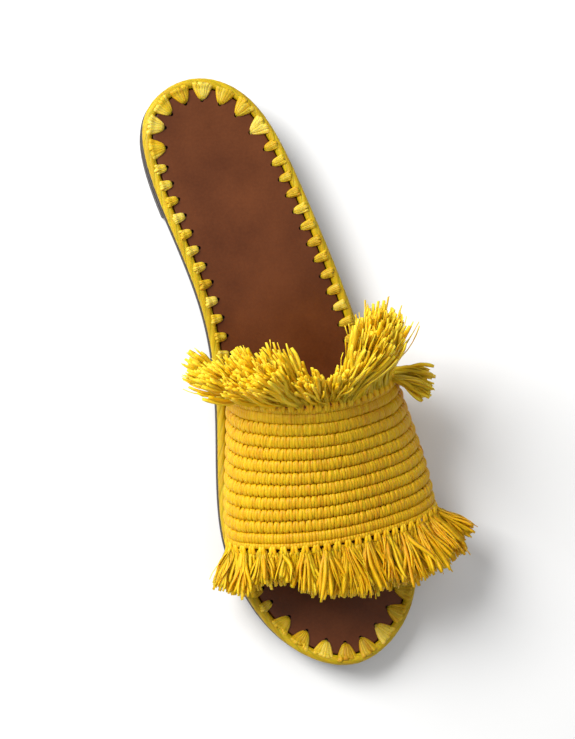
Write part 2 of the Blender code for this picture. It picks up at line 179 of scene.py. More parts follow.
def spline(points: list[tuple[float, float]], samples: int, closed: bool) -> np.ndarray:
    """Draw the cubic spline through some points.

    Args:
        points: The points that the spline passes through.
        samples: How many points to return.
        closed: Whether the spline returns to its start, or has free ends.

    Returns:
        The points along the spline.
    """
    given = np.asarray(points, float)
    path = np.vstack([given, given[:1]]) if closed else given
    steps = np.sqrt(np.linalg.norm(np.diff(path, axis=0), axis=1))
    knots = np.concatenate([[0.0], np.cumsum(steps)])
    slopes = np.diff(path, axis=0) / steps[:, None]
    count = len(given)
    system = np.zeros((count, count))
    bends = np.zeros_like(given)
    for i in range(count):
        if not closed and i in (0, count - 1):
            system[i, i] = 1.0
            continue
        before = steps[i - 1]
        after = steps[i]
        system[i, i - 1] += before
        system[i, i] += 2 * (before + after)
        system[i, (i + 1) % count] += after
        bends[i] = 6 * (slopes[i] - slopes[i - 1])
    bends = np.linalg.solve(system, bends)
    if closed:
        bends = np.vstack([bends, bends[:1]])
    at = np.linspace(0.0, knots[-1], samples, endpoint=not closed)
    span = np.clip(np.searchsorted(knots, at, side="right") - 1, 0, len(steps) - 1)
    width = steps[span][:, None]
    left = (knots[span + 1] - at)[:, None]
    right = (at - knots[span])[:, None]
    curved = (bends[span] * left**3 + bends[span + 1] * right**3) / (6 * width)
    start = (path[span] / width - bends[span] * width / 6) * left
    end = (path[span + 1] / width - bends[span + 1] * width / 6) * right
    return curved + start + end


def inward(points: np.ndarray) -> np.ndarray:
    """Return the unit normals of a closed counter-clockwise line, pointing to its inside."""
    tangent = unit(np.roll(points, -1, axis=0) - np.roll(points, 1, axis=0))
    return np.stack([-tangent[:, 1], tangent[:, 0]], 1)


@dataclass(frozen=True)
class Last:
    """The form that the slide is built on: the sole's outline and the heights of its layers."""

    length: float = 0.250
    ball_width: float = 0.081
    heel_length: float = 0.052
    flat_back: float = 0.160
    flat_front: float = 0.206
    heel_height: float = 0.0117
    toe_spring: float = 0.006
    outsole: float = 0.005
    insole: float = 0.0025
    cord: float = 0.004
    gap: float = 0.0003
    samples: int = 720

    @property
    def heel_centre(self) -> float:
        """Distance from the heel's back to the origin."""
        return self.heel_length / 2

    def outline(self, inset: float = 0.0) -> np.ndarray:
        """Return the closed outline from above, moved inwards, from the heel along the inner side."""
        corners = [(p.across * self.ball_width, p.along * self.length) for p in SOLE_OUTLINE]
        drawn = spline(corners, self.samples, True)
        along = drawn[:, 1]
        along = self.length * (along - along.min()) / (along.max() - along.min())
        points = np.stack([drawn[:, 0], self.heel_centre - along], 1)
        return points + inset * inward(points)

    def sides(self, inset: float) -> tuple[np.ndarray, np.ndarray]:
        """Return the inner and outer halves of the outline, each as (y, x) with y rising."""
        points = self.outline(inset)
        points = np.roll(points, -int(points[:, 1].argmax()), axis=0)
        toe = int(points[:, 1].argmin())
        inner = points[: toe + 1][::-1]
        outer = np.vstack([points[toe:], points[:1]])
        return inner[:, ::-1], outer[:, ::-1]

    def bottom(self, y: np.ndarray) -> np.ndarray:
        """Return the height of the outsole's underside at y."""
        along = self.heel_centre - np.asarray(y, float)
        rise = np.clip((self.flat_back - along) / (self.flat_back - self.heel_length), 0.0, 1.0)
        toe = np.clip((along - self.flat_front) / (self.length - self.flat_front), 0.0, 1.0)
        seat = self.heel_height + self.gap
        return seat * rise**2 * (3 - 2 * rise) + self.toe_spring * toe**2

    def outsole_top(self, y: np.ndarray) -> np.ndarray:
        """Return the height of the outsole's upper face at y."""
        return self.bottom(y) + self.outsole

    def insole_top(self, y: np.ndarray) -> np.ndarray:
        """Return the height of the leather that the foot stands on at y."""
        return self.outsole_top(y) + self.gap + self.insole

    def footprint(self, inset: float, across: int, along: int) -> np.ndarray:
        """Lay a grid over the sole's outline.

        Args:
            inset: How far inside the outline the grid's border runs.
            across: Cells along each short side, round the heel and round the toe.
            along: Cells along each long side.

        Returns:
            The grid's points, as rows from the toe to the heel of columns from inner to outer side.
        """
        ring = self.outline(inset)
        ring = np.vstack([ring, ring[:1]])
        total = lengths_along(ring)[-1]
        cells = 2 * (across + along)
        at = (np.arange(cells) - across / 2) * total / cells
        border = at_lengths(ring, np.mod(at, total))
        heel = border[: across + 1][::-1]
        inner = border[across : across + along + 1]
        toe = border[across + along : 2 * across + along + 1]
        outer = np.vstack([border[2 * across + along :], border[:1]])
        u = np.linspace(0, 1, across + 1)[None, :, None]
        v = np.linspace(0, 1, along + 1)[:, None, None]
        inner, outer = inner[::-1][:, None], outer[:, None]
        toe, heel = toe[None], heel[None]
        blend = (1 - v) * toe + v * heel + (1 - u) * inner + u * outer
        corners = (1 - u) * (1 - v) * toe[:, :1] + u * (1 - v) * toe[:, -1:]
        corners = corners + (1 - u) * v * heel[:, :1] + u * v * heel[:, -1:]
        return blend - corners


@dataclass
class Band:
    """The band's outer face, as a function of the distance from the throat and across the foot."""

    last: Last
    back: float = 0.1225
    length: float = 0.0598
    outer_lag: float = 0.0065
    lean: float = 0.36
    height_back: float = 0.050
    height_front: float = 0.034
    wall: float = 0.0024
    border: float = 0.0065
    ribs: int = 9
    rib_depth: float = 0.0008
    foot_clearance: float = 0.0005
    beyond: float = 0.2
    rows: int = 141
    columns: int = 401
    section_samples: int = 400

    def __post_init__(self) -> None:
        """Work out the grid of points and normals that the pieces of the band are laid on."""
        last = self.last
        folds = [(fold.across, fold.up) for fold in BAND_SECTION]
        section = spline(folds, self.section_samples, False)
        width = last.ball_width - 2 * last.cord
        sized = section * (width, (self.height_back + self.height_front) / 2)
        lengths = lengths_along(sized)
        self.width = float(lengths[-1])
        at = np.linspace(0.0, self.width, self.columns)
        across, up = (np.interp(at, lengths, section[:, axis])[None, :] for axis in (0, 1))
        share = np.linspace(-self.beyond, 1 + self.beyond, self.rows)[:, None]
        inner, outer = last.sides(last.cord + last.gap + self.rib_depth)
        inner_y = last.heel_centre - self.back - share * self.length
        outer_y = inner_y - self.outer_lag
        inner_x = np.interp(inner_y, inner[:, 0], inner[:, 1])
        outer_x = np.interp(outer_y, outer[:, 0], outer[:, 1])
        foot_y = inner_y + np.clip(across, 0, 1) * (outer_y - inner_y)
        height = self.height_back + share * (self.height_front - self.height_back)
        x = inner_x + across * (outer_x - inner_x)
        z = last.insole_top(foot_y) + self.foot_clearance + up * height
        self.points = np.stack([x, foot_y - self.lean * up * height, z], 2)
        forward = unit(np.gradient(self.points, axis=0))
        sideways = unit(np.gradient(self.points, axis=1))
        self.forward = forward
        self.normals = unit(np.cross(forward, sideways))

    def _at(self, grid: np.ndarray, down: np.ndarray, across: np.ndarray) -> np.ndarray:
        """Read a grid at distances from the throat and from the inner foot."""
        row = (down / self.length + self.beyond) / (1 + 2 * self.beyond) * (self.rows - 1)
        column = across / self.width * (self.columns - 1)
        row = np.clip(row, 0, self.rows - SHORT_OF_LAST)
        column = np.clip(column, 0, self.columns - SHORT_OF_LAST)
        r, c = row.astype(int), column.astype(int)
        fr, fc = (row - r)[..., None], (column - c)[..., None]
        top = grid[r, c] * (1 - fc) + grid[r, c + 1] * fc
        low = grid[r + 1, c] * (1 - fc) + grid[r + 1, c + 1] * fc
        return top * (1 - fr) + low * fr

    def lay(self, down: np.ndarray, across: np.ndarray, height: np.ndarray) -> np.ndarray:
        """Place points on the band.

        Args:
            down: Distances from the throat edge towards the toe.
            across: Distances along the section from the inner foot.
            height: Heights over the outer face.

        Returns:
            The points in space.
        """
        normal = unit(self._at(self.normals, down, across))
        return self._at(self.points, down, across) + normal * np.asarray(height)[..., None]

    def frame(self, down: np.ndarray, across: np.ndarray) -> tuple[np.ndarray, np.ndarray]:
        """Return the direction towards the toe and the outward normal at places of the band."""
        return unit(self._at(self.forward, down, across)), unit(self._at(self.normals, down, across))

    @property
    def rib_pitch(self) -> float:
        """Distance from one rib to the next."""
        return (self.length - 2 * self.border) / self.ribs


@dataclass
class Draft:
    """Points, faces, strand coordinates and tones gathered for one joined mesh."""

    points: list[np.ndarray] = field(default_factory=list)
    faces: list[list[int]] = field(default_factory=list)
    marks: list[np.ndarray] = field(default_factory=list)
    tones: list[np.ndarray] = field(default_factory=list)
    count: int = 0

    def tubes(
        self,
        centres: np.ndarray,
        across: np.ndarray,
        through: np.ndarray,
        wide: np.ndarray,
        thick: np.ndarray,
        section: np.ndarray,
        tones: np.ndarray,
        closed: bool = False,
    ) -> None:
        """Add many tubes that share a section.

        Args:
            centres: Centre lines, as (tubes, stations, 3).
            across: Unit vectors across each tube, like the centres.
            through: Unit vectors through each tube, like the centres.
            wide: Half widths, as (tubes, stations).
            thick: Half thicknesses, as (tubes, stations).
            section: The section's corners, as (sides, 2) between -1 and 1.
            tones: Tones from 0 to 1, one for each tube or as (tubes, stations).
            closed: Whether each tube runs back into its own start.
        """
        tubes, stations, _ = centres.shape
        sides = len(section)
        flat = across[:, :, None] * (wide[:, :, None] * section[:, 0])[..., None]
        deep = through[:, :, None] * (thick[:, :, None] * section[:, 1])[..., None]
        points = centres[:, :, None] + flat + deep
        steps = np.linalg.norm(np.diff(centres, axis=1), axis=2)
        along = np.concatenate([np.zeros((tubes, 1)), np.cumsum(steps, axis=1)], 1)
        marks = np.empty((tubes, stations, sides, 2))
        marks[..., 0] = (section[:, 0] + 1) / 2
        marks[..., 1] = along[:, :, None] / MM
        ring = np.arange(sides)
        beside = np.roll(ring, -1)
        rows = np.arange(stations if closed else stations - 1)[:, None] * sides
        ahead = (rows + sides) % (stations * sides)
        quads = np.stack([rows + ring, rows + beside, ahead + beside, ahead + ring], 2).reshape(-1, 4)
        starts = self.count + np.arange(tubes) * stations * sides
        self.faces += (quads[None] + starts[:, None, None]).reshape(-1, 4).tolist()
        if not closed:
            self.faces += (ring[::-1][None] + starts[:, None]).tolist()
            last = (stations - 1) * sides
            self.faces += (ring[None] + last + starts[:, None]).tolist()
        self.points.append(points.reshape(-1, 3))
        self.marks.append(marks.reshape(-1, 2))
        by_station = tones if tones.ndim == 2 else np.repeat(tones[:, None], stations, axis=1)
        self.tones.append(np.repeat(by_station.ravel(), sides))
        self.count += tubes * stations * sides

    def make(self, name: str, material: bpy.types.Material, slot: str) -> bpy.types.Object:
        """Turn what was gathered into an object that rides on the slide.

        Args:
            name: The piece's name.
            material: Its material.
            slot: Not used.

        Returns:
            The finished object.
        """
        mesh = bpy.data.meshes.new(name)
        mesh.from_pydata(np.concatenate(self.points).tolist(), [], self.faces)
        corners = np.empty(len(mesh.loops), np.int32)
        mesh.loops.foreach_get("vertex_index", corners)
        layer = mesh.uv_layers.new(name="strand")
        layer.data.foreach_set("uv", np.concatenate(self.marks)[corners].astype(np.float32).ravel())
        tone = mesh.attributes.new("tone", "FLOAT", "POINT")
        tone.data.foreach_set("value", np.concatenate(self.tones).astype(np.float32))
        mesh.update()
        made = bpy.data.objects.new(name, mesh)
        bpy.context.scene.collection.objects.link(made)
        settle(made)
        return finish_piece(made, material)


def settle(piece: bpy.types.Object) -> None:
    """Turn the piece's faces outwards and shade it smooth."""
    shape = bmesh.new()
    shape.from_mesh(piece.data)
    bmesh.ops.recalc_face_normals(shape, faces=shape.faces)
    shape.to_mesh(piece.data)
    shape.free()
    piece.data.shade_smooth()


def finish_piece(piece: bpy.types.Object, material: bpy.types.Material) -> bpy.types.Object:
    """Give a piece its material and let it ride on the slide."""
    piece.data.materials.clear()
    piece.data.materials.append(material)
    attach(piece, BODY)
    LOG.info("%s: %d faces", piece.name, len(piece.data.polygons))
    return piece


def ellipse(sides: int) -> np.ndarray:
    """Return the corners of a round section with the given number of sides."""
    turn = np.arange(sides) * 2 * math.pi / sides
    return np.stack([np.cos(turn), np.sin(turn)], 1)


# A flat strand's section, a low diamond with its crest on the upper side.
RIBBON = np.array([(-1.0, 0.15), (0.0, 1.0), (1.0, 0.15), (0.0, -0.7)])


def deselect() -> None:
    """Leave nothing selected, so that an operator acts on the new piece alone."""
    bpy.ops.object.select_all(action="DESELECT")


def select_only(piece: bpy.types.Object) -> None:
    """Make the piece the only selected and the active object."""
    deselect()
    piece.select_set(True)
    bpy.context.view_layer.objects.active = piece


def apply_modifiers(piece: bpy.types.Object) -> None:
    """Apply the piece's modifiers in order."""
    select_only(piece)
    for modifier in list(piece.modifiers):
        bpy.ops.object.modifier_apply(modifier=modifier.name)


class Tree:
    """A material's node tree, with short calls to add and link its nodes."""

    def __init__(self, name: str) -> None:
        """Start a material with a Principled shader."""
        self.material = bpy.data.materials.new(name)
        self.material.use_nodes = True
        self.nodes = self.material.node_tree.nodes
        self.links = self.material.node_tree.links
        self.shader = self.nodes["Principled BSDF"]

    def add(self, kind: str, inputs: dict | None = None, **settings: object) -> bpy.types.Node:
        """Add a node.

        Args:
            kind: The node's type.
            inputs: Values or sockets for its inputs, by name or number.
            **settings: The node's own settings.

        Returns:
            The new node.
        """
        node = self.nodes.new(kind)
        for key, value in settings.items():
            setattr(node, key, value)
        for key, value in (inputs or {}).items():
            if isinstance(value, bpy.types.NodeSocket):
                self.links.new(value, node.inputs[key])
            else:
                node.inputs[key].default_value = value
        return node

    def math(self, operation: str, first: object, second: object = 0.0) -> bpy.types.NodeSocket:
        """Add a math node and return its result."""
        return self.add("ShaderNodeMath", {0: first, 1: second}, operation=operation).outputs[0]

    def mix_up(self, parts: list[tuple[bpy.types.NodeSocket, float]], start: float) -> bpy.types.NodeSocket:
        """Add up some values, each times its own share, from a start value.

        Args:
            parts: The values and their shares.
            start: What is added to them.

        Returns:
            The sum.
        """
        total = start
        for value, share in parts:
            node = self.add("ShaderNodeMath", {0: value, 1: share, 2: total}, operation="MULTIPLY_ADD")
            total = node.outputs[0]
        return total

    def ramp(self, factor: bpy.types.NodeSocket, stops: list[tuple[float, tuple]]) -> bpy.types.NodeSocket:
        """Add a colour ramp through some stops and return its colour."""
        node = self.add("ShaderNodeValToRGB", {0: factor})
        ramp = node.color_ramp
        while len(ramp.elements) < len(stops):
            ramp.elements.new(0.5)
        for element, (place, colour) in zip(ramp.elements, stops):
            element.position = place
            element.color = (*colour, 1.0)
        return node.outputs[0]

    def noise(self, vector: bpy.types.NodeSocket, scale: float, detail: float = 3.0) -> bpy.types.NodeSocket:
        """Add a noise texture and return its value."""
        inputs = {"Vector": vector, "Scale": scale, "Detail": detail}
        return self.add("ShaderNodeTexNoise", inputs).outputs[0]

    def bump(self, height: bpy.types.NodeSocket, strength: float, distance: float) -> None:
        """Bump the shader with a height, on top of any bump it already has."""
        inputs = {"Height": height, "Strength": strength, "Distance": distance}
        node = self.add("ShaderNodeBump", inputs)
        normal = self.shader.inputs["Normal"]
        if normal.is_linked:
            self.links.new(normal.links[0].from_socket, node.inputs["Normal"])
        self.links.new(node.outputs[0], normal)

    def set(self, name: str, value: object) -> None:
        """Set or link an input of the shader."""
        socket = self.shader.inputs[name]
        if isinstance(value, bpy.types.NodeSocket):
            self.links.new(value, socket)
        else:
            socket.default_value = value


class Dye(Enum):
    """The dye lots of the raffia: deep, middle and pale colour."""

    BAND = ((0.46, 0.140, 0.000), (0.69, 0.365, 0.001), (0.77, 0.50, 0.003))
    CORD = ((0.30, 0.16, 0.001), (0.52, 0.34, 0.003), (0.74, 0.57, 0.020))
    STITCH = ((0.38, 0.16, 0.002), (0.68, 0.41, 0.008), (0.92, 0.68, 0.140))
    FRINGE = ((0.62, 0.25, 0.000), (0.83, 0.47, 0.002), (0.98, 0.74, 0.060))


@dataclass(frozen=True)
class Raffia:
    """Dyed raffia: fibres along each strand, a tone of its own for each strand, and a dry gloss."""

    name: str
    dye: Dye
    roughness_low: float = 0.38
    roughness_swing: float = 0.25
    shine: float = 0.25
    fibres: float = 7.0
    fibre_stretch: float = 0.22
    fibre_bump: float = 0.9
    fibre_depth: float = 0.00016
    strand_step: float = 37.0
    lot_scale: float = 60.0
    fibre_share: float = 0.50
    tone_share: float = 0.44
    lot_share: float = 0.16
    share_start: float = -0.07
    stops: tuple[float, float, float] = (0.18, 0.50, 0.88)
    glow: float = 0.45
    glow_colour: tuple[float, float, float] = (1.0, 0.55, 0.05)
    glow_depth: float = 0.0015

    def material(self) -> bpy.types.Material:
        """Make the raffia's material."""
        tree = Tree(self.name)
        place = tree.add("ShaderNodeUVMap", uv_map="strand").outputs[0]
        tone = tree.add("ShaderNodeAttribute", attribute_name="tone").outputs["Fac"]
        split = tree.add("ShaderNodeSeparateXYZ", {0: place})
        across = tree.math("MULTIPLY", split.outputs[0], self.fibres)
        along = tree.math("MULTIPLY", split.outputs[1], self.fibre_stretch)
        own = tree.math("MULTIPLY", tone, self.strand_step)
        strand = tree.add("ShaderNodeCombineXYZ", {0: across, 1: along, 2: own}).outputs[0]
        fibre = tree.noise(strand, scale=1.0, detail=4.0)
        where = tree.add("ShaderNodeTexCoord").outputs["Object"]
        lot = tree.noise(where, self.lot_scale, detail=2.0)
        parts = [(fibre, self.fibre_share), (tone, self.tone_share), (lot, self.lot_share)]
        mixed = tree.mix_up(parts, self.share_start)
        tree.set("Base Color", tree.ramp(mixed, list(zip(self.stops, self.dye.value))))
        tree.set("Roughness", tree.mix_up([(fibre, self.roughness_swing)], self.roughness_low))
        tree.set("Specular IOR Level", self.shine)
        tree.set("Subsurface Weight", self.glow)
        tree.set("Subsurface Radius", self.glow_colour)
        tree.set("Subsurface Scale", self.glow_depth)
        tree.bump(fibre, self.fibre_bump, self.fibre_depth)
        return tree.material


@dataclass(frozen=True)
class Leather:
    """Smooth leather with a fine grain, a soft gloss and an uneven dye."""

    name: str
    dark: tuple[float, float, float]
    light: tuple[float, float, float]
    roughness: float
    coat: float
    layers: float = 0.0
    shine: float = 0.2
    roughness_swing: float = 0.22
    coat_roughness: float = 0.30
    cloud_scale: float = 45.0
    fleck_scale: float = 900.0
    fleck_share: float = 0.25
    stops: tuple[float, float] = (0.40, 0.85)
    smudge_scale: float = 80.0
    grain: float = 1500.0
    grain_bump: float = 0.35
    grain_depth: float = 0.00006
    crease_scale: float = 260.0
    crease_bump: float = 0.25
    crease_depth: float = 0.00012
    layer_waver: float = 0.0006
    layer_waver_scale: float = 120.0
    layer_bump: float = 0.5
    layer_depth: float = 0.00020

    def material(self) -> bpy.types.Material:
        """Make the leather's material."""
        tree = Tree(self.name)
        where = tree.add("ShaderNodeTexCoord").outputs["Object"]
        cloud = tree.noise(where, self.cloud_scale, detail=5.0)
        fleck = tree.noise(where, self.fleck_scale, detail=2.0)
        mixed = tree.math("ADD", cloud, tree.math("MULTIPLY", fleck, self.fleck_share))
        tree.set("Base Color", tree.ramp(mixed, list(zip(self.stops, (self.dark, self.light)))))
        smudge = tree.noise(where, self.smudge_scale)
        low = self.roughness - self.roughness_swing / 2
        tree.set("Roughness", tree.mix_up([(smudge, self.roughness_swing)], low))
        tree.set("Specular IOR Level", self.shine)
        tree.set("Coat Weight", self.coat)
        tree.set("Coat Roughness", self.coat_roughness)
        cells = tree.add("ShaderNodeTexVoronoi", {"Vector": where, "Scale": self.grain}).outputs[0]
        tree.bump(cells, self.grain_bump, self.grain_depth)
        creases = tree.noise(where, self.crease_scale, detail=4.0)
        tree.bump(creases, self.crease_bump, self.crease_depth)
        if self.layers:
            height = tree.add("ShaderNodeSeparateXYZ", {0: where}).outputs[2]
            waver = tree.math("MULTIPLY", tree.noise(where, self.layer_waver_scale), self.layer_waver)
            sheet = tree.math("MULTIPLY", tree.math("ADD", height, waver), self.layers)
            line = tree.math("PINGPONG", sheet, 0.5)
            tree.bump(line, self.layer_bump, self.layer_depth)
        return tree.material


@dataclass(frozen=True)
class Flat:
    """A plain matt finish for the studio."""

    name: str
    colour: tuple[float, float, float]
    roughness: float = 0.9
    shine: float = 0.1

    def material(self) -> bpy.types.Material:
        """Make the plain material."""
        tree = Tree(self.name)
        tree.set("Base Color", (*self.colour, 1.0))
        tree.set("Roughness", self.roughness)
        tree.set("Specular IOR Level", self.shine)
        return tree.material


@dataclass
class Sole:
    """The outsole and the low stacked heel."""

    last: Last
    inset: float = 0.0004
    heel_taper: float = 0.0016
    breast: float = 0.003
    edge: float = 0.0009
    cells_across: int = 14
    cells_along: int = 74
    heel_layers: int = 4
    layer_groove: float = 0.00022
    back_points: int = 120
    breast_points: int = 25
    rim: float = 0.0006
    rim_angle: float = 50.0
    heel_smooth_angle: float = 40.0
    sharp_angle: float = 60.0

    def build(self, finish: Leather, heel_finish: Leather) -> None:
        """Build both pieces and let them stand for their solids."""
        outsole = sole_sheet(self, "outsole_leather", self.inset, self.last.outsole, self.edge, 0.0)
        finish_piece(outsole, finish.material())
        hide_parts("outsole")
        heel = self.heel()
        finish_piece(heel, heel_finish.material())
        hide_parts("heel")

    def heel_ring(self, inset: float) -> np.ndarray:
        """Return the heel's outline at an inset, round the back and across its hollow breast."""
        points = self.last.outline(inset)
        points = np.roll(points, -int(points[:, 1].argmax()), axis=0)
        front = self.last.heel_centre - self.last.heel_length
        turn = int(points[:, 1].argmin())
        inner = points[:turn][points[:turn, 1] >= front]
        outer = points[turn:][points[turn:, 1] >= front]
        back = spread(np.vstack([outer, inner]), self.back_points)
        t = np.linspace(-1, 1, self.breast_points)[1:-1]
        across = inner[-1, 0] + (outer[0, 0] - inner[-1, 0]) * (t + 1) / 2
        hollow = np.stack([across, front + self.breast * (1 - t**2)], 1)
        return np.vstack([back, hollow])

    def heel(self) -> bpy.types.Object:
        """Build the heel: a circle put on its outline and drawn up layer by layer."""
        low = self.heel_ring(self.inset + self.heel_taper)
        high = self.heel_ring(self.inset)
        deselect()
        radius = self.last.heel_length / 2
        bpy.ops.mesh.primitive_circle_add(vertices=len(low), radius=radius, fill_type="NGON")
        heel = bpy.context.object
        heel.name = heel.data.name = "heel_block"
        for vertex, (x, y) in zip(heel.data.vertices, low):
            vertex.co = (x, y, 0.0)
        layer = self.last.heel_height / self.heel_layers
        groove = self.layer_groove
        seam = [groove, groove]
        rings_a_layer = 1 + len(seam)
        inner_layers = self.heel_layers - 2
        steps = [layer - groove, *seam] + [layer - 2 * groove, *seam] * inner_layers + [layer - groove]
        bpy.ops.object.mode_set(mode="EDIT")
        bpy.ops.mesh.select_all(action="SELECT")
        for step in steps:
            bpy.ops.mesh.extrude_region_move(TRANSFORM_OT_translate={"value": (0.0, 0.0, step)})
        bpy.ops.object.mode_set(mode="OBJECT")
        size = len(low)
        middle = low.mean(0)
        heights = np.concatenate([[0.0], np.cumsum(steps)])
        for number, height in enumerate(heights):
            share = height / self.last.heel_height
            ring = low + (high - low) * share
            if number % rings_a_layer == 2 and number < len(heights) - 1:
                ring = ring + unit(middle - ring) * groove * 2
            for vertex, (x, y) in zip(heel.data.vertices[number * size : (number + 1) * size], ring):
                vertex.co = (x, y, height)
        rim = heel.modifiers.new("rim", "BEVEL")
        rim.width = self.rim
        rim.segments = 3
        rim.limit_method = "ANGLE"
        rim.angle_limit = math.radians(self.rim_angle)
        apply_modifiers(heel)
        settle(heel)
        bpy.ops.object.shade_smooth_by_angle(angle=math.radians(self.heel_smooth_angle))
        return heel


def sole_sheet(
    sole: Sole, name: str, inset: float, thickness: float, edge: float, lift: float
) -> bpy.types.Object:
    """Build a level layer of the sole as by hand: a grid on the footprint, drawn up and rounded.

    Args:
        sole: The sole whose sizes are used.
        name: The piece's name.
        inset: How far inside the outline it ends.
        thickness: The layer's thickness.
        edge: The width of its rounded edges.
        lift: How far its underside lies over the outsole's underside.

    Returns:
        The piece, with the waist, heel seat and toe spring of the last.
    """
    deselect()
    bpy.ops.mesh.primitive_grid_add(
        x_subdivisions=sole.cells_across, y_subdivisions=sole.cells_along, size=1.0
    )
    piece = bpy.context.object
    piece.name = piece.data.name = name
    flat = sole.last.footprint(inset, sole.cells_across, sole.cells_along)
    for vertex in piece.data.vertices:
        column = round((vertex.co.x + 0.5) * sole.cells_across)
        row = round((vertex.co.y + 0.5) * sole.cells_along)
        vertex.co = (*flat[row, column], 0.0)
    bpy.ops.object.mode_set(mode="EDIT")
    bpy.ops.mesh.select_all(action="SELECT")
    bpy.ops.mesh.extrude_region_move(TRANSFORM_OT_translate={"value": (0.0, 0.0, thickness)})
    bpy.ops.mesh.select_all(action="SELECT")
    bpy.ops.mesh.normals_make_consistent(inside=False)
    bpy.ops.mesh.select_all(action="DESELECT")
    bpy.ops.mesh.edges_select_sharp(sharpness=math.radians(sole.sharp_angle))
    bpy.ops.mesh.bevel(offset=edge, segments=4, profile=0.5, affect="EDGES")
    bpy.ops.object.mode_set(mode="OBJECT")
    y = np.array([vertex.co.y for vertex in piece.data.vertices])
    for vertex, height in zip(piece.data.vertices, sole.last.bottom(y) + lift):
        vertex.co.z += float(height)
    settle(piece)
    return piece


class Stitch(NamedTuple):
    """A whip stitch: its place on the outline, its inward direction, its outer width and its reach."""

    place: np.ndarray
    inwards: np.ndarray
    width: float
    reach: float


@dataclass(frozen=True)
class StitchForm:
    """The form of a whip stitch: how its strips fan, bow, sink into the hole and dive under the cord."""

    strips: int = 6
    stations: int = 10
    sides: int = 6
    inner_width: float = 0.0034
    start: float = 0.0021
    start_spread: float = 0.0003
    narrows_from: float = 0.6
    narrowing: float = 0.7
    fan_share: float = 0.8
    fan_spread: float = 0.05
    fall_share: float = 0.6
    fall_power: float = 1.6
    clearance: float = 0.0003
    swell: float = 0.0009
    swell_power: float = 0.6
    swell_edge: float = 0.55
    sink: float = 0.0016
    sinks_from: float = 0.86
    dive: float = 0.0007
    dives_until: float = 0.2
    edge_drop: float = 0.0004
    strip_tilt: float = 0.45
    strip_overlap: float = 1.5
    strip_thick: float = 0.00048
    tones: tuple[float, float] = (0.25, 0.95)
    tone_spread: float = 0.12

    def half_width(self, t: np.ndarray, outer_width: float) -> np.ndarray:
        """Return half the stitch's width at shares of its way from the cord to the hole."""
        half = (outer_width * (1 - t) + self.inner_width * t) / 2
        rounding = np.clip((t - self.narrows_from) / (1 - self.narrows_from), 0, 1)
        return half * np.sqrt(1 - self.narrowing * rounding**2)

    def rise(self, t: np.ndarray, fan: float) -> np.ndarray:
        """Return how far a strip stands over the cord and the insole, at its place across the fan."""
        bow = self.swell * np.sin(math.pi * t) ** self.swell_power * (1 - self.swell_edge * fan**2)
        sink = -self.sink * np.clip((t - self.sinks_from) / (1 - self.sinks_from), 0, 1) ** 2
        dive = -self.dive * np.clip((self.dives_until - t) / self.dives_until, 0, 1) ** 2
        return self.clearance + bow + sink + dive - self.edge_drop * fan**2


